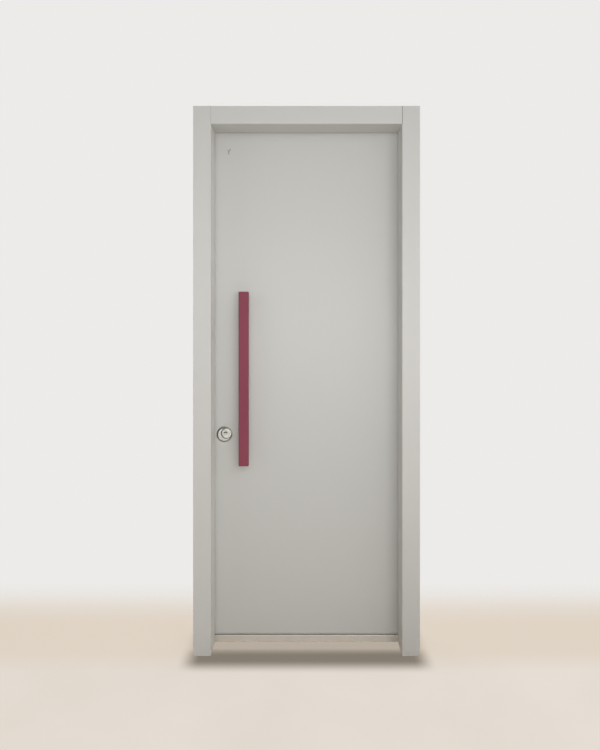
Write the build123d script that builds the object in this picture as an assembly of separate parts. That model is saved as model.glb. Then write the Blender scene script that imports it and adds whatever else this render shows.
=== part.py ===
from build123d import *
from math import sqrt
import os

# A security door: a flush armoured leaf that opens inwards in a folded steel frame.
# X runs right and Y inwards, both seen from outside, and Z runs up.
# The origin is on the floor, at the middle of the threshold's underside. All sizes are in mm.

# Clear opening between the linings
OPENING_W = 755.0
OPENING_H = 2100.0

# Clearances
MOVING_GAP = 5.0
SEAT_GAP = 0.3
RUNNING_GAP = 0.05
BOLT_GAP = 0.2

# Leaf
LEAF_T = 68.0
PANEL_T = 8.0
TRIM_T = 1.5
TRIM_LIP = 12.0
BOTTOM_LIP = 6.0
TRIM_EDGE_R = 1.2
LEAF_LAP = 22.5

# Threshold and bottom seal
THRESHOLD_H = 28.0
THRESHOLD_D = 80.0
THRESHOLD_RAMP = 18.0
THRESHOLD_HEEL = 8.0
THRESHOLD_NOSE_R = 2.0
LEAF_FLOOR_GAP = 3.0
SEAL_W = 9.0
SEAL_H = 22.0
SEAL_PROUD = 0.6
SEAL_INSET = 20.0

# Folded steel frame and its stop angles
SHEET_T = 2.0
BEND_R = 3.0
FLANGE_W = 40.0
RETURN_LIP = 12.0
STOP_GAP = 8.0
STOP_HIDE = 2.5
STOP_LEG = 20.0
STOP_PAST_WEB = 5.0
WEB_PAST_LEAF = 2.0

# Linings and casing boards outside
LINING_T = 12.0
LINING_D = 100.0
LINING_FLOOR_GAP = 3.0
CASING_W = 70.0
CASING_T = 10.0
CASING_EDGE_R = 1.5

# Casing boards inside
INNER_CASING_W = 60.0
INNER_CASING_T = 10.0

# Gaskets
GASKET_W = 8.0
GASKET_H = 5.7
GASKET_BULB_R = 2.6

# Lift-off hinges
BARREL_R = 9.0
HALF_BARREL_L = 60.0
PIN_R = 5.5
PIN_IN_LEAF = 42.0
PIN_END_GAP = 2.0
PIN_CHAMFER = 1.0
BARREL_FLOOR = 8.0
BARREL_BEVEL = 2.0
WING_T = 4.0
WING_H = 52.0
WING_IN = 54.0
HINGE_LOW_Z = 330.0
HINGE_BELOW_TOP = 332.5

# Dog bolts on the hinge edge
DOG_COUNT = 4
DOG_R = 8.0
DOG_NOSE_R = 5.0
DOG_PROUD = 12.0
DOG_SUNK = 30.0
DOG_COLLAR = 3.0

# Lock, with its bolts and latch drawn back
LOCK_BACKSET = 62.8
PLUG_Z = 866.0
FACEPLATE_W = 34.0
FACEPLATE_H = 290.0
PLATE_T = 3.0
BOLT_R = 9.0
BOLT_L = 45.0
BOLT_CHAMFER = 1.5
BOLT_COUNT = 4
BOLT_PITCH = 37.0
BOLT_SOCKET_GAP = 1.0
LEVER_RISE = 132.0
LATCH_W = 16.0
LATCH_H = 28.0
LATCH_L = 32.0
LATCH_BEVEL = 9.0
LATCH_TIP = 4.0
LATCH_SOCKET_GAP = 4.0

# Deviators, above and below the lock
DEVIATOR_LOW_Z = 456.0
DEVIATOR_BELOW_TOP = 566.5
DEVIATOR_R = 8.0
DEVIATOR_PLATE_W = 30.0
DEVIATOR_PLATE_H = 120.0

# Plates behind the lock jamb
BACK_PLATE_T = 3.0
BACK_PLATE_W = 44.0
BACK_PLATE_MARGIN = 26.0
BACK_PLATE_CORNER_R = 4.0
KEEPER_H = 90.0

# Anchor holes in the jambs
ANCHOR_R = 5.5
ANCHOR_Y = -25.0
ANCHOR_LOW_Z = 150.0
ANCHOR_BELOW_TOP = 172.5
ANCHOR_TO_MIDDLE = 490.0

# Pull bar outside
PULL_W = 40.0
PULL_D = 20.0
PULL_L = 706.0
PULL_EDGE_R = 2.5
PULL_END_BEVEL = 1.5
PULL_X = -254.5
PULL_MID_Z = 1088.5
PULL_STAND = 40.0
STANDOFF_R = 9.0
STANDOFF_FOOT_R = 13.0
STANDOFF_FOOT_T = 4.0
STANDOFF_INSET = 94.0

# Defender escutcheon outside: a cone-edged guard with an eccentric cover on it
ESCUTCHEON_R = 32.5
ESCUTCHEON_FACE_R = 25.5
ESCUTCHEON_FOOT = 1.5
ESCUTCHEON_T = 9.0
PLATE_DX = -5.9
PLATE_DZ = -10.0
BOSS_R = 24.0
BOSS_FACE_R = 19.0
BOSS_T = 5.0
BOSS_DX = 4.2
BOSS_DZ = -4.3
TAB_L = 11.0
TAB_W = 4.0
TAB_T = 3.0
TAB_FROM_PLATE = 23.0
TAB_ANGLE = -40.0
PLUG_R = 8.5
PLUG_L = 34.0
PLUG_SHY = 0.8
PLUG_CHAMFER = 0.6
KEY_SLOT_W = 12.5
KEY_SLOT_H = 4.0
KEY_SLOT_DEPTH = 12.0

# Lever and thumb turn inside
ROSE_R = 26.0
ROSE_T = 9.0
ROSE_BEVEL = 2.0
LEVER_R = 9.0
LEVER_STAND = 48.0
LEVER_REACH = 118.0
LEVER_BEND_R = 16.0
LEVER_END_BEVEL = 3.0
TURN_R = 6.0
TURN_NECK = 10.0
TURN_W = 34.0
TURN_H = 12.0
TURN_D = 18.0
TURN_EDGE_R = 3.0

# Places worked out from the sizes above
half_opening = OPENING_W / 2
leaf_front = -LEAF_T / 2
leaf_back = LEAF_T / 2
trim_front = leaf_front - TRIM_T
trim_back = leaf_back + TRIM_T
leaf_bottom = THRESHOLD_H + LEAF_FLOOR_GAP
leaf_top = OPENING_H + LEAF_LAP
hinge_edge = half_opening + LEAF_LAP
web_face = hinge_edge + MOVING_GAP
head_web_face = leaf_top + MOVING_GAP
stop_back = leaf_front - STOP_GAP
stop_front = stop_back - SHEET_T
flange_back = leaf_back + WEB_PAST_LEAF + SHEET_T / 2
lining_front = stop_front - LINING_D
casing_front = lining_front - CASING_T
hinge_x = (hinge_edge + web_face) / 2
hinge_y = flange_back + MOVING_GAP + BARREL_R
inner_casing_in = hinge_x + BARREL_R + MOVING_GAP

# The lock edge stands back so far that the leaf's outer corner clears the jamb on its swing.
swing_reach = hinge_x + web_face - MOVING_GAP
lock_edge = hinge_x - sqrt(swing_reach**2 - (hinge_y - trim_front) ** 2)

plug_x = lock_edge + LOCK_BACKSET
lever_z = PLUG_Z + LEVER_RISE
faceplate_mid = (PLUG_Z + lever_z) / 2
bolt_z = [PLUG_Z + (i - (BOLT_COUNT - 1) / 2) * BOLT_PITCH for i in range(BOLT_COUNT)]
hinge_high_z = leaf_top - HINGE_BELOW_TOP
hinge_z = {"lower": HINGE_LOW_Z, "upper": hinge_high_z}
dog_step = (hinge_high_z - HINGE_LOW_Z) / (DOG_COUNT + 1)
dog_z = [HINGE_LOW_Z + (i + 1) * dog_step for i in range(DOG_COUNT)]
deviator_z = [DEVIATOR_LOW_Z, leaf_top - DEVIATOR_BELOW_TOP]
anchor_high_z = leaf_top - ANCHOR_BELOW_TOP
anchor_z = [ANCHOR_LOW_Z, ANCHOR_LOW_Z + ANCHOR_TO_MIDDLE, anchor_high_z - ANCHOR_TO_MIDDLE, anchor_high_z]


def block(x0, x1, y0, y1, z0, z1):
    middle = Pos((x0 + x1) / 2, (y0 + y1) / 2, (z0 + z1) / 2)
    return middle * Box(abs(x1 - x0), abs(y1 - y0), abs(z1 - z0))


def rod_x(radius, x0, x1, y, z):
    return Pos((x0 + x1) / 2, y, z) * Rot(0, 90, 0) * Cylinder(radius, abs(x1 - x0))


def rod_y(radius, y0, y1, x, z):
    return Pos(x, (y0 + y1) / 2, z) * Rot(90, 0, 0) * Cylinder(radius, abs(y1 - y0))


def rod_z(radius, z0, z1, x, y):
    return Pos(x, y, (z0 + z1) / 2) * Cylinder(radius, abs(z1 - z0))


def along(direction, middle, section, length):
    """A section drawn as (away from the edge, Y), run out along a straight piece."""
    plane = Plane(origin=middle, x_dir=direction, z_dir=Vector(direction).cross(Vector(0, 1, 0)))
    return extrude(plane * section, amount=length / 2, both=True)


def soften(part, axis, radius):
    """Round the long edges that run along one axis."""
    return fillet(part.edges().filter_by(axis), radius)


# Threshold
def threshold():
    front = -THRESHOLD_D / 2
    back = THRESHOLD_D / 2
    outline = Polyline(
        (0, front), (THRESHOLD_H, front), (THRESHOLD_H, back - THRESHOLD_RAMP), (THRESHOLD_HEEL, back), (0, back),
        close=True)
    section = make_face(outline)
    nose = section.vertices().sort_by_distance((THRESHOLD_H, front))[0]
    return along((0, 0, 1), (0, 0, 0), fillet(nose, THRESHOLD_NOSE_R), 2 * web_face)


# Folded steel frame
web_line = web_face - half_opening + SHEET_T / 2


def frame_section():
    """The folded sheet: web, inner flange and its return, drawn outwards from the opening."""
    inner = flange_back - SHEET_T / 2
    middle_line = FilletPolyline(
        (web_line, stop_back), (web_line, inner), (web_line + FLANGE_W, inner),
        (web_line + FLANGE_W, inner - RETURN_LIP), radius=BEND_R)
    return trace(middle_line, SHEET_T)


def stop_section():
    """The stop angle: the leaf's stop and a leg towards the casing, drawn outwards from the opening."""
    stop = stop_back - SHEET_T / 2
    leg = web_line + STOP_PAST_WEB
    middle_line = FilletPolyline((STOP_HIDE, stop), (leg, stop), (leg, stop - STOP_LEG), radius=BEND_R)
    return trace(middle_line, SHEET_T)


def mitre(side):
    """The 45 degree plane on which a jamb meets the head, its normal on the head's side."""
    return Plane(origin=(side * half_opening, 0, OPENING_H), x_dir=(0, 1, 0), z_dir=(-side, 0, 1))


def upright(section, side):
    """A section run up from the floor and cut to the mitre at its top."""
    reach = head_web_face + FLANGE_W + CASING_W
    blank = along((side, 0, 0), (side * half_opening, 0, reach / 2), section, reach)
    return split(blank, bisect_by=mitre(side), keep=Keep.BOTTOM)


def crosspiece(section):
    """A section run across the top and cut to both mitres."""
    blank = along((0, 0, 1), (0, 0, OPENING_H), section, OPENING_W + 4 * CASING_W)
    for side in (-1, 1):
        blank = split(blank, bisect_by=mitre(side), keep=Keep.TOP)
    return blank


def frame_stops():
    uprights = [upright(stop_section(), side) for side in (-1, 1)]
    return Compound(children=uprights + [crosspiece(stop_section())])


def frame_jamb(side):
    jamb = upright(frame_section(), side)
    for z in anchor_z:
        jamb -= web_hole(side, ANCHOR_R, ANCHOR_Y, z)
    return jamb


def web_hole(side, radius, y, z):
    x = side * (web_face + SHEET_T / 2)
    return rod_x(radius, x - 2 * SHEET_T, x + 2 * SHEET_T, y, z)


def latch_window(x0, x1, gap):
    half_w = LATCH_W / 2 + gap
    half_h = LATCH_H / 2 + gap
    return block(x0, x1, -half_w, half_w, lever_z - half_h, lever_z + half_h)


def frame_jamb_lock():
    jamb = frame_jamb(-1)
    for z in bolt_z:
        jamb -= web_hole(-1, BOLT_R + BOLT_SOCKET_GAP, 0, z)
    for z in deviator_z:
        jamb -= web_hole(-1, DEVIATOR_R + BOLT_SOCKET_GAP, 0, z)
    return jamb - latch_window(-web_face + SHEET_T, -web_face - 2 * SHEET_T, LATCH_SOCKET_GAP)


def frame_jamb_hinge():
    jamb = frame_jamb(1)
    for z in dog_z:
        jamb -= web_hole(1, DOG_R + MOVING_GAP, 0, z)
    for z in hinge_z.values():
        top = z - SEAT_GAP / 2
        jamb -= block(
            web_face - SHEET_T, web_face + WING_T, hinge_y - WING_IN - BARREL_R - SEAT_GAP, hinge_y,
            top - WING_H - SEAT_GAP, top + SEAT_GAP)
    return jamb


def strike_reinforcement():
    """A plate behind the lock jamb with the same round sockets for the main bolts."""
    x0 = -web_face - SHEET_T
    half = BACK_PLATE_W / 2
    plate = block(
        x0, x0 - BACK_PLATE_T, -half, half, bolt_z[0] - BACK_PLATE_MARGIN, bolt_z[-1] + BACK_PLATE_MARGIN)
    for z in bolt_z:
        plate -= rod_x(BOLT_R + BOLT_SOCKET_GAP, x0 + 1, x0 - 2 * BACK_PLATE_T, 0, z)
    return soften(plate, Axis.X, BACK_PLATE_CORNER_R)


def latch_keeper():
    x0 = -web_face - SHEET_T
    half = BACK_PLATE_W / 2
    plate = block(x0, x0 - BACK_PLATE_T, -half, half, lever_z - KEEPER_H / 2, lever_z + KEEPER_H / 2)
    plate = soften(plate, Axis.X, BACK_PLATE_CORNER_R)
    return plate - latch_window(x0 + 1, x0 - 2 * BACK_PLATE_T, LATCH_SOCKET_GAP / 2)


# Linings and casing boards
def lining_side(side):
    inner = side * half_opening
    return block(
        inner, inner + side * LINING_T, lining_front, stop_front, LINING_FLOOR_GAP, OPENING_H + LINING_T)


def lining_head():
    return block(-half_opening, half_opening, lining_front, stop_front, OPENING_H, OPENING_H + LINING_T)


def casing_stile(side, inner, width, front, thick, top, face):
    board = block(side * inner, side * (inner + width), front, front + thick, 0, top)
    return soften_face(board, Axis.Z, face)


def soften_face(board, axis, face):
    """Round the two long edges on a board's show face."""
    edges = board.edges().filter_by(axis).group_by(Axis.Y)[face]
    return fillet(edges, CASING_EDGE_R)


def casing_head(inner, bottom, width, front, thick, face):
    board = block(-inner, inner, front, front + thick, bottom, bottom + width)
    return soften_face(board, Axis.X, face)


# Gaskets
def gasket_section():
    """A flat foot with a round bulb, drawn across the stop's back face."""
    foot = Rectangle(GASKET_W, GASKET_H - GASKET_BULB_R, align=(Align.CENTER, Align.MIN))
    bulb = Pos(0, GASKET_H - GASKET_BULB_R) * Circle(GASKET_BULB_R)
    return Pos(0, stop_back) * (foot + bulb)


def gasket_side(side, edge):
    middle_x = side * (edge - TRIM_LIP / 2)
    bottom = leaf_bottom
    top = OPENING_H + STOP_HIDE
    return along((side, 0, 0), (middle_x, 0, (bottom + top) / 2), gasket_section(), top - bottom)


def gasket_top():
    span_left = -lock_edge - TRIM_LIP - SEAT_GAP
    span_right = hinge_edge - TRIM_LIP - SEAT_GAP
    middle = ((span_right - span_left) / 2, 0, leaf_top - TRIM_LIP / 2)
    return along((0, 0, 1), middle, gasket_section(), span_left + span_right)


def gaskets():
    return Compound(children=[gasket_side(-1, -lock_edge), gasket_side(1, hinge_edge), gasket_top()])


# Leaf
def leaf_layer(front, back):
    return block(lock_edge + TRIM_T, hinge_edge - TRIM_T, front, back, leaf_bottom + TRIM_T, leaf_top - TRIM_T)


def leaf_wing_pocket(z):
    bottom = z + SEAT_GAP / 2
    return block(
        hinge_edge - WING_T, hinge_edge + TRIM_T, hinge_y - WING_IN - BARREL_R - SEAT_GAP, hinge_y,
        bottom - SEAT_GAP, bottom + WING_H + SEAT_GAP)


def seal_bar(gap, bottom):
    """The drop seal's own space along the leaf's underside, with a gap round it."""
    half = SEAL_W / 2 + gap
    return block(
        lock_edge + SEAL_INSET - gap, hinge_edge - SEAL_INSET + gap, -half, half,
        bottom, leaf_bottom + TRIM_T + SEAL_H)


def seal_groove():
    return seal_bar(BOLT_GAP, leaf_bottom - SEAL_PROUD)


def faceplate_blank(gap):
    half = FACEPLATE_W / 2 + gap
    half_h = FACEPLATE_H / 2 + gap
    return block(
        lock_edge, lock_edge + PLATE_T, -half, half, faceplate_mid - half_h, faceplate_mid + half_h)


def deviator_blank(z, gap):
    half = DEVIATOR_PLATE_W / 2 + gap
    half_h = DEVIATOR_PLATE_H / 2 + gap
    return block(lock_edge, lock_edge + PLATE_T, -half, half, z - half_h, z + half_h)


def lock_edge_cuts():
    """What the lock edge is cut for: plates, bolts and latch."""
    cuts = [faceplate_blank(BOLT_GAP)] + [deviator_blank(z, BOLT_GAP) for z in deviator_z]
    cuts += [rod_x(BOLT_R + BOLT_GAP, lock_edge, lock_edge + BOLT_L, 0, z) for z in bolt_z]
    cuts += [rod_x(DEVIATOR_R + BOLT_GAP, lock_edge, lock_edge + BOLT_L, 0, z) for z in deviator_z]
    cuts.append(latch_window(lock_edge, lock_edge + LATCH_L, BOLT_GAP))
    return cuts


def hinge_edge_cuts():
    """What the hinge edge is cut for: hinge wings and dog bolts."""
    cuts = [leaf_wing_pocket(z) for z in hinge_z.values()]
    cuts += [rod_x(DOG_R + BOLT_GAP / 2, hinge_edge - DOG_SUNK, hinge_edge + 1, 0, z) for z in dog_z]
    return cuts


def leaf_core():
    core = leaf_layer(leaf_front + PANEL_T, leaf_back - PANEL_T)
    core -= seal_groove()
    core -= lock_edge_cuts() + hinge_edge_cuts()
    plug_end = leaf_front - ESCUTCHEON_T - BOSS_T + PLUG_SHY + PLUG_L
    return core - rod_y(PLUG_R + SEAT_GAP, leaf_front, plug_end + SEAT_GAP, plug_x, PLUG_Z)


def outer_panel():
    panel = leaf_layer(leaf_front, leaf_front + PANEL_T)
    return panel - rod_y(PLUG_R + SEAT_GAP, leaf_front - 1, leaf_front + PANEL_T + 1, plug_x, PLUG_Z)


def inner_panel():
    panel = leaf_layer(leaf_back - PANEL_T, leaf_back)
    return panel - [leaf_wing_pocket(z) for z in hinge_z.values()]


def trim_section(front_lip, back_lip):
    """A channel of folded sheet, drawn inwards from the leaf's edge."""
    front_in = leaf_front
    back_in = leaf_back
    outline = Polyline(
        (0, trim_front), (front_lip, trim_front), (front_lip, front_in), (TRIM_T, front_in),
        (TRIM_T, back_in), (back_lip, back_in), (back_lip, trim_back), (0, trim_back), close=True)
    section = make_face(outline)
    corners = section.vertices().group_by(Axis.X)[0]
    return fillet(corners, TRIM_EDGE_R)


def edge_trim_side(edge, inwards):
    middle = (edge, 0, (leaf_bottom + leaf_top) / 2)
    return along((inwards, 0, 0), middle, trim_section(TRIM_LIP, TRIM_LIP), leaf_top - leaf_bottom)


def edge_trim_lock():
    return edge_trim_side(lock_edge, 1) - lock_edge_cuts()


def edge_trim_hinge():
    return edge_trim_side(hinge_edge, -1) - hinge_edge_cuts()


def edge_trim_level(edge, inwards, front_lip):
    """The top or bottom trim, its web between the side webs and its lips between the side lips."""
    left = lock_edge + TRIM_T
    right = hinge_edge - TRIM_T
    trim = along((0, 0, inwards), ((left + right) / 2, 0, edge), trim_section(front_lip, TRIM_LIP), right - left)
    for x0, x1 in ((left, lock_edge + TRIM_LIP), (hinge_edge - TRIM_LIP, right)):
        for y0, y1 in ((trim_front, leaf_front), (leaf_back, trim_back)):
            trim -= block(x0, x1, y0, y1, edge - TRIM_LIP, edge + TRIM_LIP)
    return trim


def edge_trim_bottom():
    return edge_trim_level(leaf_bottom, 1, BOTTOM_LIP) - seal_groove()


def bottom_seal():
    return seal_bar(0, leaf_bottom - SEAL_PROUD)


# Lock edge
def lock_faceplate():
    plate = faceplate_blank(0)
    for z in bolt_z:
        plate -= rod_x(BOLT_R + BOLT_GAP, lock_edge - 1, lock_edge + 2 * PLATE_T, 0, z)
    return plate - latch_window(lock_edge - 1, lock_edge + 2 * PLATE_T, BOLT_GAP)


def round_bolt(radius, z):
    bolt = rod_x(radius, lock_edge, lock_edge + BOLT_L, 0, z)
    return chamfer(bolt.edges().group_by(Axis.X)[0], BOLT_CHAMFER)


def main_bolts():
    return Compound(children=[round_bolt(BOLT_R, z) for z in bolt_z])


def latch():
    """The latch bolt, drawn back, its nose cut off at a slant."""
    half_w = LATCH_W / 2
    outline = Polyline(
        (lock_edge, half_w), (lock_edge, half_w - LATCH_TIP), (lock_edge + LATCH_BEVEL, -half_w),
        (lock_edge + LATCH_L, -half_w), (lock_edge + LATCH_L, half_w), close=True)
    return extrude(Pos(0, 0, lever_z) * make_face(outline), amount=LATCH_H / 2, both=True)


def deviator_plates():
    plates = []
    for z in deviator_z:
        hole = rod_x(DEVIATOR_R + BOLT_GAP, lock_edge - 1, lock_edge + 2 * PLATE_T, 0, z)
        plates.append(deviator_blank(z, 0) - hole)
    return Compound(children=plates)


def deviator_bolts():
    return Compound(children=[round_bolt(DEVIATOR_R, z) for z in deviator_z])


# Hinge edge
def dog_bolts():
    """Fixed bolts with a tapered nose, which enter the hinge jamb as the leaf closes."""
    outline = Polyline(
        (0, 0), (DOG_R, 0), (DOG_R, DOG_SUNK + DOG_COLLAR), (DOG_NOSE_R, DOG_SUNK + DOG_PROUD), (0, DOG_SUNK + DOG_PROUD),
        close=True)
    upright = revolve(Plane.XZ * make_face(outline), Axis.Z)
    bolts = [Pos(hinge_edge - DOG_SUNK, 0, z) * Rot(0, 90, 0) * upright for z in dog_z]
    return Compound(children=bolts)


def hinge_frame_half(z):
    top = z - SEAT_GAP / 2
    bottom = top - HALF_BARREL_L
    barrel = rod_z(BARREL_R, bottom, top, hinge_x, hinge_y)
    barrel = chamfer(barrel.edges().group_by(Axis.Z)[0], BARREL_BEVEL)
    wing = block(
        web_face, web_face + WING_T, hinge_y - WING_IN - BARREL_R, hinge_y, top - WING_H, top)
    bore = rod_z(PIN_R + RUNNING_GAP / 2, bottom + BARREL_FLOOR, top + 1, hinge_x, hinge_y)
    return barrel + wing - bore


def hinge_leaf_half(z):
    bottom = z + SEAT_GAP / 2
    top = bottom + HALF_BARREL_L
    barrel = rod_z(BARREL_R, bottom, top, hinge_x, hinge_y)
    barrel = chamfer(barrel.edges().group_by(Axis.Z)[-1], BARREL_BEVEL)
    wing = block(
        hinge_edge - WING_T, hinge_edge, hinge_y - WING_IN - BARREL_R, hinge_y, bottom, bottom + WING_H)
    bore = rod_z(PIN_R + RUNNING_GAP, bottom - 1, z + PIN_IN_LEAF + PIN_END_GAP, hinge_x, hinge_y)
    return barrel + wing - bore


def hinge_pin(z):
    foot = z - SEAT_GAP / 2 - HALF_BARREL_L + BARREL_FLOOR
    pin = rod_z(PIN_R, foot, z + PIN_IN_LEAF, hinge_x, hinge_y)
    return chamfer(pin.edges().group_by(Axis.Z)[-1], PIN_CHAMFER)


# Pull bar
def pull_bar():
    back = leaf_front - PULL_STAND
    bar = block(
        PULL_X - PULL_W / 2, PULL_X + PULL_W / 2, back - PULL_D, back,
        PULL_MID_Z - PULL_L / 2, PULL_MID_Z + PULL_L / 2)
    bar = soften(bar, Axis.Z, PULL_EDGE_R)
    ends = bar.edges().group_by(Axis.Z)
    return chamfer(ends[0] + ends[-1], PULL_END_BEVEL)


def pull_standoffs():
    posts = []
    for end in (-1, 1):
        z = PULL_MID_Z + end * (PULL_L / 2 - STANDOFF_INSET)
        post = rod_y(STANDOFF_R, leaf_front - PULL_STAND, leaf_front, PULL_X, z)
        foot = rod_y(STANDOFF_FOOT_R, leaf_front - STANDOFF_FOOT_T, leaf_front, PULL_X, z)
        posts.append(post + foot)
    return Compound(children=posts)


# Defender escutcheon
def cone_y(wide, narrow, y0, y1, x, z):
    """A round piece that narrows outwards, from its wide foot at y0 to its face at y1."""
    return Pos(x, (y0 + y1) / 2, z) * Rot(90, 0, 0) * Cone(wide, narrow, y0 - y1)


def thumb_tab(x, z, foot):
    """The small oblong tab by which the eccentric cover is turned, set across the guard's radius."""
    outward = Rot(0, -TAB_ANGLE, 0) * Pos(TAB_FROM_PLATE, 0, 0)
    outline = Rot(90, 0, 0) * Rot(0, 0, 90) * SlotOverall(TAB_L, TAB_W)
    return extrude(Pos(x, foot, z) * outward * outline, amount=TAB_T)


def defender_escutcheon():
    """The cone-edged guard and its eccentric cover, bored for the plug."""
    x = plug_x + PLATE_DX
    z = PLUG_Z + PLATE_DZ
    foot_face = leaf_front - ESCUTCHEON_FOOT
    plate_face = leaf_front - ESCUTCHEON_T
    guard = rod_y(ESCUTCHEON_R, foot_face, leaf_front, x, z)
    guard += cone_y(ESCUTCHEON_R, ESCUTCHEON_FACE_R, foot_face, plate_face, x, z)
    cover_x = plug_x + BOSS_DX
    cover_z = PLUG_Z + BOSS_DZ
    cover = cone_y(BOSS_R, BOSS_FACE_R, plate_face, plate_face - BOSS_T, cover_x, cover_z)
    cover += rod_y(BOSS_R, plate_face, foot_face, cover_x, cover_z)
    cover &= rod_y(ESCUTCHEON_R, plate_face - BOSS_T, leaf_front, x, z)
    whole = guard + cover + thumb_tab(x, z, plate_face)
    return whole - rod_y(PLUG_R + RUNNING_GAP, plate_face - 2 * BOSS_T, leaf_front + 1, plug_x, PLUG_Z)


def lock_plug():
    """The turning plug with its key slot."""
    front = leaf_front - ESCUTCHEON_T - BOSS_T + PLUG_SHY
    plug = rod_y(PLUG_R, front, front + PLUG_L, plug_x, PLUG_Z)
    plug = chamfer(plug.edges().group_by(Axis.Y)[0], PLUG_CHAMFER)
    half_w = KEY_SLOT_W / 2
    half_h = KEY_SLOT_H / 2
    return plug - block(
        plug_x - half_w, plug_x + half_w, front - 1, front + KEY_SLOT_DEPTH, PLUG_Z - half_h, PLUG_Z + half_h)


# Lever and thumb turn
def inner_roses():
    roses = []
    for z in (PLUG_Z, lever_z):
        disc = rod_y(ROSE_R, leaf_back, leaf_back + ROSE_T, plug_x, z)
        roses.append(chamfer(disc.edges().group_by(Axis.Y)[-1], ROSE_BEVEL))
    return Compound(children=roses)


def lever_handle():
    """A round bar bent from the rose towards the hinges, with a bevelled end."""
    start = (plug_x, leaf_back + ROSE_T, lever_z)
    turn = (plug_x, leaf_back + LEVER_STAND, lever_z)
    end = (plug_x + LEVER_REACH, leaf_back + LEVER_STAND, lever_z)
    path = FilletPolyline(start, turn, end, radius=LEVER_BEND_R)
    bar = sweep(Plane(origin=start, z_dir=(0, 1, 0)) * Circle(LEVER_R), path=path)
    return chamfer(bar.edges().group_by(Axis.X)[-1], LEVER_END_BEVEL)


def thumb_turn():
    face = leaf_back + ROSE_T
    neck = rod_y(TURN_R, face, face + TURN_NECK, plug_x, PLUG_Z)
    y0 = face + TURN_NECK
    grip = block(
        plug_x - TURN_H / 2, plug_x + TURN_H / 2, y0, y0 + TURN_D, PLUG_Z - TURN_W / 2, PLUG_Z + TURN_W / 2)
    return neck + fillet(grip.edges().filter_by(Axis.Y), TURN_EDGE_R)


def casing(prefix, inner, bottom, width, front, thick, face):
    """Two full-height boards with the head board between them, rounded on the show face."""
    top = bottom + width
    return {
        prefix + "_left": casing_stile(-1, inner, width, front, thick, top, face),
        prefix + "_right": casing_stile(1, inner, width, front, thick, top, face),
        prefix + "_head": casing_head(inner, bottom, width, front, thick, face),
    }


def door():
    parts = {
        "threshold": threshold(),
        "frame_jamb_lock": frame_jamb_lock(),
        "frame_jamb_hinge": frame_jamb_hinge(),
        "frame_head": crosspiece(frame_section()),
        "frame_stops": frame_stops(),
        "strike_reinforcement": strike_reinforcement(),
        "latch_keeper": latch_keeper(),
        "lining_left": lining_side(-1),
        "lining_right": lining_side(1),
        "lining_head": lining_head(),
        "gaskets": gaskets(),
        "leaf_core": leaf_core(),
        "outer_panel": outer_panel(),
        "inner_panel": inner_panel(),
        "edge_trim_lock": edge_trim_lock(),
        "edge_trim_hinge": edge_trim_hinge(),
        "edge_trim_top": edge_trim_level(leaf_top, -1, TRIM_LIP),
        "edge_trim_bottom": edge_trim_bottom(),
        "bottom_seal": bottom_seal(),
        "lock_faceplate": lock_faceplate(),
        "main_bolts": main_bolts(),
        "latch": latch(),
        "deviator_plates": deviator_plates(),
        "deviator_bolts": deviator_bolts(),
        "dog_bolts": dog_bolts(),
        "pull_bar": pull_bar(),
        "pull_standoffs": pull_standoffs(),
        "defender_escutcheon": defender_escutcheon(),
        "lock_plug": lock_plug(),
        "inner_roses": inner_roses(),
        "lever_handle": lever_handle(),
        "thumb_turn": thumb_turn(),
    }
    parts |= casing("architrave", half_opening, OPENING_H, CASING_W, casing_front, CASING_T, 0)
    inner_bottom = OPENING_H + inner_casing_in - half_opening
    parts |= casing(
        "inner_architrave", inner_casing_in, inner_bottom, INNER_CASING_W, flange_back, INNER_CASING_T, -1)
    for name, z in hinge_z.items():
        parts[name + "_hinge_frame_half"] = hinge_frame_half(z)
        parts[name + "_hinge_leaf_half"] = hinge_leaf_half(z)
        parts[name + "_hinge_pin"] = hinge_pin(z)
    return parts


os.makedirs("parts", exist_ok=True)
for name, shape in door().items():
    export_step(shape, f"parts/{name}.step")
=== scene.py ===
import math
import random

import bmesh
import bpy
from mathutils import Matrix, Vector


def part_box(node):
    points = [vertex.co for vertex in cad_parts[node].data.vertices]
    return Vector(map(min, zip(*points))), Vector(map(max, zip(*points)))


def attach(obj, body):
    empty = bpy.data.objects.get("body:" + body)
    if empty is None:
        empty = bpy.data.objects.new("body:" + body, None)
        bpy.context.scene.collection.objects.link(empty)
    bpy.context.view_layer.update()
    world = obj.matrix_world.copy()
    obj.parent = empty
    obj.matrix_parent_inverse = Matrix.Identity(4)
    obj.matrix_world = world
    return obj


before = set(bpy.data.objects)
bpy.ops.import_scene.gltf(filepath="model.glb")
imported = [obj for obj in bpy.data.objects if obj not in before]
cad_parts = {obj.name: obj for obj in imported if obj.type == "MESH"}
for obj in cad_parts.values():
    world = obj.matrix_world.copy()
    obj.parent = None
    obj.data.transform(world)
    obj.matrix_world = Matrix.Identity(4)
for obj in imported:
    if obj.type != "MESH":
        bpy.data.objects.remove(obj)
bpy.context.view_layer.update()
random.seed(11)

scene = bpy.context.scene
scene.view_settings.view_transform = "Standard"

# Places on the door, in metres
CLEAR_HEIGHT = 2.1
CASING_JOINT_X = 0.3783
LEAF_FACE_Y = -0.034
KEY_SLOT_INSIDE_Y = (-0.0468, -0.0458)

# The scuff on the leaf: where its strokes meet, then each stroke's tip and half width, as x and z
SCUFF_JOINT = (-0.3217, 2.0245)
SCUFF_STROKES = (
    ((-0.3262, 2.0322), 0.0008),
    ((-0.3150, 2.0344), 0.0015),
    ((-0.3215, 2.0162), 0.0015))

# The casing's butt joints: where the dark seam starts and is full, and the left one's share
SEAM_OUTER = 0.0014
SEAM_INNER = 0.0008
LEFT_SEAM_SHARE = 0.3
SEAM_DARK = (0.07, 0.068, 0.06, 1)

# Dust and painted shade on the lower boards, darkening them towards the floor: the heights where it starts and
# is full
DUST_AND_SHADE_TOP = 0.80
DUST_AND_SHADE_FULL = 0.05

# The laminate's paler edge tone: wear and a painted highlight
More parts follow.
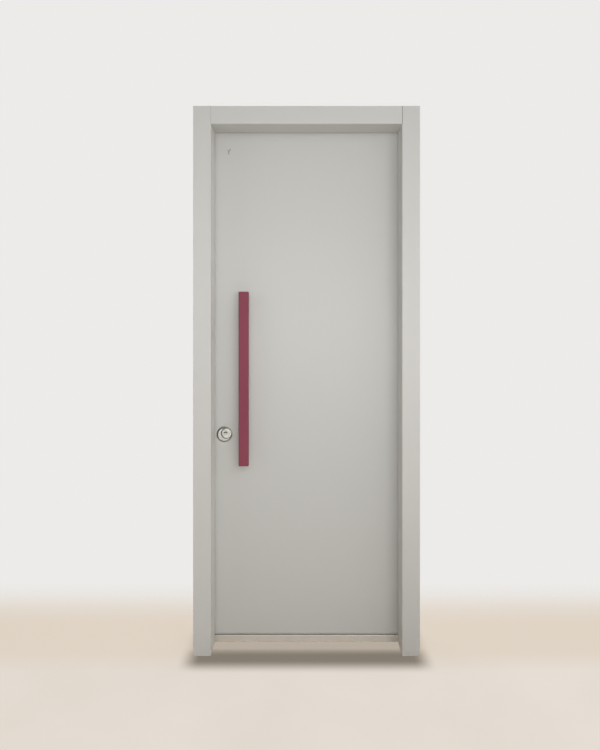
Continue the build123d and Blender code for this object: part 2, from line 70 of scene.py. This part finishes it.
EDGE_WEAR_AND_HIGHLIGHT = (0.80, 0.79, 0.75, 1)
# Colour of the painted shade on the escutcheon's cone flanks
FLANK_SHADE_COLOUR = (0.035, 0.034, 0.030, 1)
# Colour of the painted shade deep in the key slot
SLOT_SHADE_COLOUR = (0.02, 0.018, 0.015, 1)

SCREW_R = 0.0038
HEAD_SIDES = 24


# Node helpers
def lin(r, g, b):
    """A screen colour, 0 to 255, as a linear one."""
    def one(v):
        v /= 255
        return v / 12.92 if v <= 0.04045 else ((v + 0.055) / 1.055) ** 2.4
    return (one(r), one(g), one(b), 1.0)


DUST_AND_SHADE_COLOUR = lin(96, 93, 84)
SCUFF_COLOUR = lin(140, 139, 131)


class Shade:
    """Builds one node tree with short calls."""

    def __init__(self, owner):
        owner.use_nodes = True
        self.tree = owner.node_tree
        self.tree.nodes.clear()

    def add(self, kind, **settings):
        node = self.tree.nodes.new(kind)
        for key, value in settings.items():
            setattr(node, key, value)
        return node

    def put(self, socket, value):
        if isinstance(value, bpy.types.NodeSocket):
            self.tree.links.new(value, socket)
        else:
            socket.default_value = value

    def named(self, kind, inputs, **settings):
        node = self.add(kind, **settings)
        for key, value in inputs.items():
            self.put(node.inputs[key], value)
        return node

    def math(self, operation, a, b=0.0, clamp=False):
        return self.named("ShaderNodeMath", {0: a, 1: b}, operation=operation, use_clamp=clamp).outputs[0]

    def times(self, a, b, clamp=False):
        return self.math("MULTIPLY", a, b, clamp)

    def vector_math(self, operation, a, b=(0, 0, 0), out=0):
        return self.named("ShaderNodeVectorMath", {0: a, 1: b}, operation=operation).outputs[out]

    def scaled(self, vector, scale):
        return self.named("ShaderNodeVectorMath", {0: vector, "Scale": scale}, operation="SCALE").outputs[0]

    def place(self):
        """The point in the object's own frame, in metres."""
        return self.add("ShaderNodeTexCoord").outputs["Object"]

    def split(self, vector):
        return self.named("ShaderNodeSeparateXYZ", {"Vector": vector}).outputs

    def stretched(self, vector, scale):
        return self.named("ShaderNodeMapping", {"Vector": vector, "Scale": scale}).outputs[0]

    def noise(self, vector, scale, detail=3.0, rough=0.5):
        return self.named("ShaderNodeTexNoise", {
            "Vector": vector, "Scale": scale, "Detail": detail, "Roughness": rough}).outputs["Fac"]

    def remap(self, value, low, high, to_low=0.0, to_high=1.0, smooth=False):
        return self.named(
            "ShaderNodeMapRange",
            {"Value": value, "From Min": low, "From Max": high, "To Min": to_low, "To Max": to_high},
            interpolation_type="SMOOTHSTEP" if smooth else "LINEAR").outputs[0]

    def spread(self, noise, low, high):
        """A noise, whose values lie about 0.5, led to a range."""
        return self.remap(noise, 0.3, 0.7, low, high)

    def mix(self, factor, a, b, blend="MIX"):
        return self.named(
            "ShaderNodeMix", {0: factor, 6: a, 7: b}, data_type="RGBA", blend_type=blend).outputs[2]

    def toned(self, colour, tone):
        """A colour times a grey."""
        grey = self.named("ShaderNodeCombineColor", {0: tone, 1: tone, 2: tone}).outputs[0]
        return self.mix(1.0, colour, grey, "MULTIPLY")

    def mix_shaders(self, factor, a, b):
        return self.named("ShaderNodeMixShader", {0: factor, 1: a, 2: b}).outputs[0]

    def bump(self, height, distance, strength=1.0, normal=None):
        node = self.named("ShaderNodeBump", {"Height": height, "Distance": distance, "Strength": strength})
        if normal is not None:
            self.put(node.inputs["Normal"], normal)
        return node.outputs[0]

    def rounded(self, radius):
        return self.named("ShaderNodeBevel", {"Radius": radius}, samples=6).outputs[0]

    def edge(self, radius):
        """1 on sharp edges, 0 on flat faces."""
        flat = self.add("ShaderNodeNewGeometry").outputs["Normal"]
        dot = self.vector_math("DOT_PRODUCT", self.rounded(radius), flat, out=1)
        return self.remap(dot, 0.97, 0.80, smooth=True)

    def near_line(self, vector, start, end, inner, outer):
        """1 within inner metres of a line between two points, 0 beyond outer metres."""
        a = Vector(start)
        run = Vector(end) - a
        from_a = self.vector_math("SUBTRACT", vector, tuple(a))
        dot = self.vector_math("DOT_PRODUCT", from_a, tuple(run / run.length_squared), out=1)
        share = self.math("MAXIMUM", self.math("MINIMUM", dot, 1.0), 0.0)
        nearest = self.scaled(tuple(run), share)
        apart = self.vector_math("LENGTH", self.vector_math("SUBTRACT", from_a, nearest), out=1)
        return self.remap(apart, outer, inner, smooth=True)

    def surface(self, inputs):
        """The principled shader with these inputs, led to the output."""
        shader = self.named("ShaderNodeBsdfPrincipled", inputs)
        self.finish("ShaderNodeOutputMaterial", shader.outputs[0])

    def finish(self, kind, shader):
        self.put(self.add(kind).inputs["Surface"], shader)


def material(name):
    made = bpy.data.materials.new(name)
    return made, Shade(made)


# Materials
def laminate(name, colour, grain_axis, rough=0.42, marks=None, dust_and_shade=0.0, joint=0.0):
    """Satin laminate on board: a faint straight grain, a fine skin and paler edges, worn and with a painted
    highlight.

    The argument after marks sets how much it darkens towards the floor, as dust and as painted shade, and joint
    how dark its butt joints are.
    """
    made, s = material(name)
    at = s.place()
    along = [1.0, 1.0, 1.0]
    along["XYZ".index(grain_axis)] = 0.03
    fine = s.noise(s.stretched(at, along), 420.0, 3.0, 0.6)
    broad = s.noise(at, 2.6, 2.0)
    skin = s.noise(at, 900.0, 2.0)
    tone = s.math("ADD", s.spread(fine, -0.012, 0.012), s.spread(broad, -0.012, 0.012))
    shade = s.mix(s.math("ADD", tone, 0.5), (0.97, 0.97, 0.97, 1), (1.03, 1.03, 1.03, 1))
    base = s.mix(1.0, colour, shade, "MULTIPLY")
    # Paler rounded edges: wear, and a painted highlight along the arrises
    edge_wear_and_light = s.times(s.edge(0.0035), s.remap(s.noise(at, 35.0, 3.0), 0.35, 0.65, 0.35, 0.8))
    base = s.mix(s.times(edge_wear_and_light, 0.4), base, EDGE_WEAR_AND_HIGHLIGHT)
    roughness = s.spread(skin, rough - 0.04, rough + 0.05)
    height = s.math("ADD", s.times(skin, 0.6), s.times(fine, 0.4))
    if joint:
        x, _, z = s.split(at)
        apart = s.math("ABSOLUTE", s.math("SUBTRACT", s.math("ABSOLUTE", x), CASING_JOINT_X))
        beside_head = s.remap(z, CLEAR_HEIGHT - 0.0005, CLEAR_HEIGHT + 0.0005)
        seam = s.times(s.remap(apart, SEAM_OUTER, SEAM_INNER), beside_head)
        seam = s.times(seam, s.remap(x, -0.1, 0.1, joint * LEFT_SEAM_SHARE, joint))
        base = s.mix(seam, base, SEAM_DARK)
    # Dust and painted shade: the board darkens towards the floor, with a broad random spread
    if dust_and_shade:
        low = s.remap(s.split(at)[2], DUST_AND_SHADE_TOP, DUST_AND_SHADE_FULL)
        darkening_share = s.math("ADD", low, s.spread(broad, -0.12, 0.12))
        base = s.mix(s.times(darkening_share, dust_and_shade, clamp=True), base, DUST_AND_SHADE_COLOUR)
    if marks:
        base, roughness, height = marks(s, at, base, roughness, height)
    normal = s.bump(height, 0.00006, 0.5, s.rounded(0.0012))
    s.surface({"Base Color": base, "Roughness": roughness, "Normal": normal, "Specular IOR Level": 0.4})
    return made


def coated(name, colour, rough=0.4, rim_wear_and_shade=0.4, specular=0.45, rim=None, rim_width=0.0015):
    """Powder coat: a fine orange peel, with edges turned to another tone: wear, and on the pull bar also
    painted shade.
    """
    made, s = material(name)
    at = s.place()
    peel = s.noise(at, 700.0, 2.0)
    broad = s.noise(at, 5.0, 3.0)
    base = s.toned(colour, s.spread(broad, 0.96, 1.04))
    # Edges in the rim tone: wear, and on the pull bar painted shade too
    edge_wear_and_light = s.times(s.edge(rim_width), s.remap(s.noise(at, 60.0, 4.0), 0.35, 0.6, 0.4, 1.0))
    rim = rim or tuple(c * 0.6 for c in colour[:3]) + (1,)
    base = s.mix(s.times(edge_wear_and_light, rim_wear_and_shade), base, rim)
    roughness = s.spread(broad, rough - 0.05, rough + 0.06)
    normal = s.bump(peel, 0.00005, 0.6, s.rounded(0.001))
    s.surface({"Base Color": base, "Roughness": roughness, "Normal": normal, "Specular IOR Level": specular})
    return made


def metal(name, colour, rough, brush_axis=None, brush=0.2, dull=0.1, shade=None):
    """Bare or plated metal with fine brushing, or a fine haze and small scratches."""
    made, s = material(name)
    at = s.place()
    scale = [1.0, 1.0, 1.0]
    if brush_axis:
        scale["XYZ".index(brush_axis)] = 0.02
    lines = s.noise(s.stretched(at, scale), 1500.0, 3.0, 0.6)
    haze = s.noise(at, 40.0, 3.0)
    base = s.toned(colour, s.spread(haze, 1.0 - dull, 1.0 + dull))
    roughness = s.math("ADD", s.spread(lines, rough - 0.08, rough + 0.08), s.spread(haze, -0.04, 0.06))
    if shade:
        base = shade(s, at, base)
    normal = s.bump(lines, 0.00004, brush, s.rounded(0.0006))
    s.surface({"Base Color": base, "Metallic": 1.0, "Roughness": roughness, "Normal": normal})
    return made


def flank_painted_shade(s, at, base):
    """Painted shade: the cone-shaped flanks a little darker than the flat faces."""
    normal = s.split(s.add("ShaderNodeTexCoord").outputs["Normal"])
    flank = s.remap(s.math("ABSOLUTE", normal[1]), 0.93, 0.80, smooth=True)
    return s.mix(s.times(flank, 0.12), base, FLANK_SHADE_COLOUR)


def slot_painted_shade(s, at, base):
    """Painted shade inside the key slot, darker deeper in."""
    return s.mix(s.remap(s.split(at)[1], *KEY_SLOT_INSIDE_Y, smooth=True), base, SLOT_SHADE_COLOUR)


def rubber(name, light=1.0):
    made, s = material(name)
    fine = s.noise(s.place(), 800.0, 2.0)
    dark = (0.012 * light, 0.012 * light, 0.012 * light, 1)
    pale = (0.035 * light, 0.034 * light, 0.033 * light, 1)
    s.surface({
        "Base Color": s.mix(fine, dark, pale), "Roughness": s.spread(fine, 0.6, 0.8),
        "Normal": s.bump(fine, 0.0001, 0.5)})
    return made


def leaf_marks(s, at, base, roughness, height):
    """The small forked scuff near the leaf's upper left corner."""
    def on_face(x, z):
        return (x, LEAF_FACE_Y, z)

    noise = s.named("ShaderNodeTexNoise", {"Vector": at, "Scale": 260.0}).outputs["Color"]
    wobble = s.vector_math("SUBTRACT", noise, (0.5, 0.5, 0.5))
    moved = s.vector_math("ADD", at, s.scaled(wobble, 0.003))
    scuff = None
    for tip, width in SCUFF_STROKES:
        part = s.near_line(moved, on_face(*SCUFF_JOINT), on_face(*tip), width, width * 2.6)
        scuff = part if scuff is None else s.math("MAXIMUM", scuff, part)
    base = s.mix(s.times(scuff, 0.70), base, SCUFF_COLOUR)
    roughness = s.math("ADD", roughness, s.times(scuff, 0.2))
    height = s.math("SUBTRACT", height, s.times(scuff, 1.5))
    return base, roughness, height


casing_colour = lin(207, 206, 202)
leaf_colour = lin(201, 201, 197)
casing_upright = laminate("casing_upright", casing_colour, "Z")
casing_level = laminate("casing_level", casing_colour, "X")
casing_head = laminate("casing_head", casing_colour, "X", joint=0.8)
# The lower casing boards and the left lining darken towards the floor as dust and as painted shade, most on the
# right casing
casing_left = laminate("casing_left", casing_colour, "Z", dust_and_shade=0.05, joint=0.8)
casing_right = laminate("casing_right", casing_colour, "Z", dust_and_shade=0.16, joint=0.8)
# The three linings are one laminate; their colours differ as painted light and shade: the left and right ones
# lighter than the casing, the head one darker
lining_left_painted_light = laminate("lining_left_painted_light", lin(222, 221, 216), "Z", dust_and_shade=0.10)
lining_right_painted_light = laminate("lining_right_painted_light", lin(211, 211, 206), "Z")
lining_head_painted_shade = laminate("lining_head_painted_shade", lin(197, 197, 193), "X")
leaf_skin = laminate("leaf_skin", leaf_colour, "Z", marks=leaf_marks)
leaf_back_skin = laminate("leaf_back_skin", leaf_colour, "Z")
core = coated("core_steel", lin(150, 148, 142), 0.5)
frame_coat = coated("frame_coat", lin(196, 195, 189), 0.42)
trim_coat = coated("trim_coat", lin(200, 199, 194), 0.35)
hinge_coat = coated("hinge_coat", lin(190, 189, 184), 0.38)
# The pull bar's darker, greyer rims are painted shade as well as wear
burgundy = coated(
    "burgundy_coat", lin(139, 71, 86), 0.6, rim_wear_and_shade=1.0, specular=0.12, rim=lin(96, 64, 70), rim_width=0.0042)
zinc = metal("zinc", (0.50, 0.51, 0.52, 1), 0.55, brush=0.3, dull=0.12)
screw_zinc = metal("screw_zinc", (0.60, 0.60, 0.59, 1), 0.42, dull=0.12)
bright = metal("bright_steel", (0.66, 0.65, 0.63, 1), 0.24, "X", 0.3, 0.06)
sill = metal("sill_steel", (0.76, 0.735, 0.69, 1), 0.6, "X", 0.4, 0.025)
chrome = metal("satin_chrome", (0.60, 0.59, 0.545, 1), 0.34, dull=0.09, shade=flank_painted_shade)
plug_metal = metal("plug_steel", (0.53, 0.51, 0.46, 1), 0.36, dull=0.08, shade=slot_painted_shade)
lever_metal = metal("lever_chrome", (0.66, 0.65, 0.62, 1), 0.26, dull=0.05)
black_rubber = rubber("seal_rubber")
# The drop seal is pale grey: grey rubber, and painted light that lightens the shaded gap under the leaf
grey_seal_and_painted_light = rubber("drop_seal_rubber", 12.0)

finish_of = {
    "threshold": sill,
    "frame_jamb_lock": frame_coat, "frame_jamb_hinge": frame_coat, "frame_head": frame_coat,
    "frame_stops": frame_coat,
    "strike_reinforcement": zinc, "latch_keeper": zinc,
    "lining_left": lining_left_painted_light, "lining_right": lining_right_painted_light, "lining_head": lining_head_painted_shade,
    "architrave_left": casing_left, "architrave_right": casing_right, "architrave_head": casing_head,
    "inner_architrave_left": casing_upright, "inner_architrave_right": casing_upright,
    "inner_architrave_head": casing_level,
    "gaskets": black_rubber, "bottom_seal": grey_seal_and_painted_light,
    "lower_hinge_frame_half": hinge_coat, "upper_hinge_frame_half": hinge_coat,
    "lower_hinge_leaf_half": hinge_coat, "upper_hinge_leaf_half": hinge_coat,
    "lower_hinge_pin": zinc, "upper_hinge_pin": zinc,
    "leaf_core": core, "outer_panel": leaf_skin, "inner_panel": leaf_back_skin,
    "edge_trim_lock": trim_coat, "edge_trim_hinge": trim_coat, "edge_trim_top": trim_coat,
    "edge_trim_bottom": trim_coat,
    "lock_faceplate": zinc, "main_bolts": bright, "latch": bright,
    "deviator_plates": zinc, "deviator_bolts": bright, "dog_bolts": bright,
    "pull_bar": burgundy, "pull_standoffs": burgundy,
    "defender_escutcheon": chrome, "lock_plug": plug_metal,
    "inner_roses": lever_metal, "lever_handle": lever_metal, "thumb_turn": lever_metal}

for name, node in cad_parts.items():
    if not node.data.materials:
        node.data.materials.append(None)
    for slot in node.material_slots:
        slot.link = "OBJECT"
        slot.material = finish_of[name]


# Small countersunk screws in the plates on the leaf's lock edge
def pairs(ring):
    """Each member of a closed ring with the next one."""
    return [(ring[i], ring[(i + 1) % len(ring)]) for i in range(len(ring))]


def cross_head(bm, place, radius):
    """One screw head with a cross recess, facing -X, its rim a little proud of the plate."""
    def ring(size, height):
        angles = [i * math.tau / HEAD_SIDES for i in range(HEAD_SIDES)]
        return [bm.verts.new((size * math.cos(a), size * math.sin(a), height)) for a in angles]

    foot, rim, top, bottom = -0.0006, 0.0002, 0.0005, -0.0012
    arm, half = radius * 0.58, radius * 0.13
    outline = []
    for turn in range(4):
        c, q = math.cos(turn * math.pi / 2), math.sin(turn * math.pi / 2)
        outline += [(x * c - y * q, x * q + y * c) for x, y in [(arm, -half), (arm, half), (half, half)]]
    start = len(bm.verts)
    rings = [ring(radius, foot), ring(radius, rim), ring(radius * 0.9, top)]
    recess = [[bm.verts.new((x, y, z)) for x, y in outline] for z in (top, bottom)]
    for a, b in ((rings[0], rings[1]), (rings[1], rings[2]), (recess[1], recess[0])):
        for (a_one, a_next), (b_one, b_next) in zip(pairs(a), pairs(b)):
            bm.faces.new((a_one, a_next, b_next, b_one))
    bm.faces.new(recess[1])
    edges = [bm.edges.get(pair) for r in (rings[2], recess[0]) for pair in pairs(r)]
    bmesh.ops.triangle_fill(bm, edges=[e for e in edges if e], use_beauty=True)
    bm.verts.ensure_lookup_table()
    spin = Matrix.Rotation(random.uniform(0, math.pi / 2), 4, "Z")
    moved = Matrix.Translation(place) @ Matrix.Rotation(-math.pi / 2, 4, "Y") @ spin
    bmesh.ops.transform(bm, matrix=moved, verts=bm.verts[start:])


def screws(name, plate, heights):
    low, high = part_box(plate)
    mesh = bpy.data.meshes.new(name)
    bm = bmesh.new()
    for z in heights:
        cross_head(bm, (low[0], (low[1] + high[1]) / 2, z), SCREW_R)
    bmesh.ops.recalc_face_normals(bm, faces=bm.faces)
    bm.to_mesh(mesh)
    bm.free()
    piece = bpy.data.objects.new(name, mesh)
    bpy.context.collection.objects.link(piece)
    mesh.materials.append(screw_zinc)
    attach(piece, "leaf")


face_low, face_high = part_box("lock_faceplate")
screws("faceplate_screws", "lock_faceplate", [face_low[2] + 0.0068, face_high[2] - 0.115, face_high[2] - 0.008])
plate_low, plate_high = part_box("deviator_plates")
near_end, far_end = 0.012, 0.108
screws("deviator_screws", "deviator_plates", [
    plate_low[2] + near_end, plate_low[2] + far_end, plate_high[2] - far_end, plate_high[2] - near_end])


# Floor: pale, with the door's soft contact shadow, fading into the background
def make_floor():
    mesh = bpy.data.meshes.new("floor")
    bm = bmesh.new()
    bmesh.ops.create_grid(bm, x_segments=2, y_segments=2, size=8.0)
    bm.to_mesh(mesh)
    bm.free()
    floor = bpy.data.objects.new("floor", mesh)
    floor.location = (0, -1.0, -0.0005)
    bpy.context.collection.objects.link(floor)
    made, s = material("floor_pale")
    at = s.add("ShaderNodeNewGeometry").outputs["Position"]
    x, y, _ = s.split(at)
    mottle = s.noise(at, 1.5, 4.0)
    colour = s.mix(s.remap(mottle, 0.35, 0.65), lin(228, 219, 209), lin(233, 224, 215))
    colour = s.mix(s.remap(y, -0.30, -0.10, smooth=True), colour, lin(226, 214, 199))
    # The contact shadow: a dark strip before the casing, and a lighter one below the door
    beside = s.remap(s.math("ABSOLUTE", x), 0.505, 0.415, smooth=True)
    before = s.times(s.remap(y, -0.285, -0.185, smooth=True), s.remap(y, -0.03, -0.155, smooth=True))
    shadow = s.times(s.times(beside, before), 0.71)
    under = s.times(s.times(beside, s.remap(y, -0.24, -0.18, smooth=True)), 0.36)
    kept = s.math("SUBTRACT", 1.0, s.math("MAXIMUM", shadow, under))
    # The camera sees mostly the plain colour; other rays get the floor as it is lit
    diffuse = s.named("ShaderNodeBsdfDiffuse", {"Color": colour}).outputs[0]
    glow = s.named("ShaderNodeEmission", {"Color": colour, "Strength": 1.0}).outputs[0]
    dark = s.named("ShaderNodeBsdfDiffuse", {"Color": (0.06, 0.04, 0.01, 1)}).outputs[0]
    seen = s.mix_shaders(kept, dark, s.mix_shaders(0.86, diffuse, glow))
    camera_ray = s.add("ShaderNodeLightPath").outputs["Is Camera Ray"]
    lit = s.mix_shaders(camera_ray, diffuse, seen)
    deep = s.remap(y, 0.10, 0.60, smooth=True)
    wide = s.remap(s.vector_math("LENGTH", at, out=1), 2.6, 5.0, smooth=True)
    clear = s.add("ShaderNodeBsdfTransparent").outputs[0]
    s.finish("ShaderNodeOutputMaterial", s.mix_shaders(s.math("MAXIMUM", deep, wide), lit, clear))
    floor.data.materials.append(made)


make_floor()


# World: a soft light from the right and from behind, and a pale background for the camera
def make_world():
    world = bpy.data.worlds.new("soft_room")
    scene.world = world
    s = Shade(world)
    way = s.split(s.vector_math("NORMALIZE", s.add("ShaderNodeTexCoord").outputs["Generated"]))
    right = s.remap(way[0], -0.25, 0.25, smooth=True)
    behind = s.remap(way[1], 0.0, 0.35, smooth=True)
    above = s.remap(way[2], -0.05, 0.05, smooth=True)
    strength = s.times(s.math("MAXIMUM", s.times(right, 0.424), behind), above)
    rays = s.add("ShaderNodeLightPath")
    ahead = s.remap(way[1], -0.75, -0.97, 0.0, 0.70, smooth=True)
    strength = s.math("MAXIMUM", strength, s.times(ahead, rays.outputs["Is Glossy Ray"]))
    light = s.named("ShaderNodeBackground", {"Color": (1.0, 1.0, 1.0, 1), "Strength": strength})
    seen = s.named("ShaderNodeBackground", {"Color": lin(236, 235, 233), "Strength": 1.0})
    both = s.mix_shaders(rays.outputs["Is Camera Ray"], light.outputs[0], seen.outputs[0])
    s.finish("ShaderNodeOutputWorld", both)


make_world()

# Lamps: name, place, target, side of the square, watts
LAMPS = (
    ("front_low", (0.0, -2.4, 1.2), (0.0, -0.05, 1.2), 1.0, 9.12),
    ("front_near", (0.0, -1.9, 1.6), (0.0, -0.05, 1.6), 1.0, 5.72),
    ("front_right", (0.95, -2.5, 1.3), (0.0, -0.05, 1.3), 0.65, 7.18),
    ("front_left", (-0.6, -2.4, 1.9), (0.0, -0.05, 1.6), 1.0, 3.49),
    ("upper_right", (1.5, -2.5, 2.4), (0.0, -0.05, 1.6), 1.2, 5.92),
    ("upper_left", (-1.5, -2.5, 2.4), (0.0, -0.05, 1.6), 1.2, 2.23),
    ("right", (2.2, -1.5, 1.8), (0.0, -0.05, 1.6), 1.2, 4.56),
    ("left", (-2.2, -1.5, 1.8), (0.0, -0.05, 1.6), 1.2, 7.08),
    ("above", (0.6, -1.6, 3.2), (0.0, -0.05, 1.6), 1.2, 2.42),
    ("back_left", (-1.3, 2.5, 1.9), (0.0, 0.05, 1.2), 1.2, 16.0),
    ("back_right", (1.5, 2.2, 1.5), (0.0, 0.05, 1.2), 1.2, 9.0))

for name, place, target, side, watts in LAMPS:
    data = bpy.data.lights.new(name, "AREA")
    data.shape = "RECTANGLE"
    data.size = data.size_y = side
    data.energy = watts
    lamp = bpy.data.objects.new(name, data)
    lamp.location = place
    lamp.rotation_euler = (Vector(target) - Vector(place)).to_track_quat("-Z", "Y").to_euler()
    lamp.visible_camera = False
    bpy.context.collection.objects.link(lamp)

# Camera: straight on, at the photograph's distance and height
camera_data = bpy.data.cameras.new("camera")
camera_data.sensor_width = 36.0
camera_data.lens = 29.81
camera_data.shift_x = -0.002
camera_data.shift_y = -0.0507
camera = bpy.data.objects.new("camera", camera_data)
camera.location = (-0.020, -2.604, 1.2585)
camera.rotation_euler = (math.radians(90), 0, 0)
bpy.context.collection.objects.link(camera)
scene.camera = camera
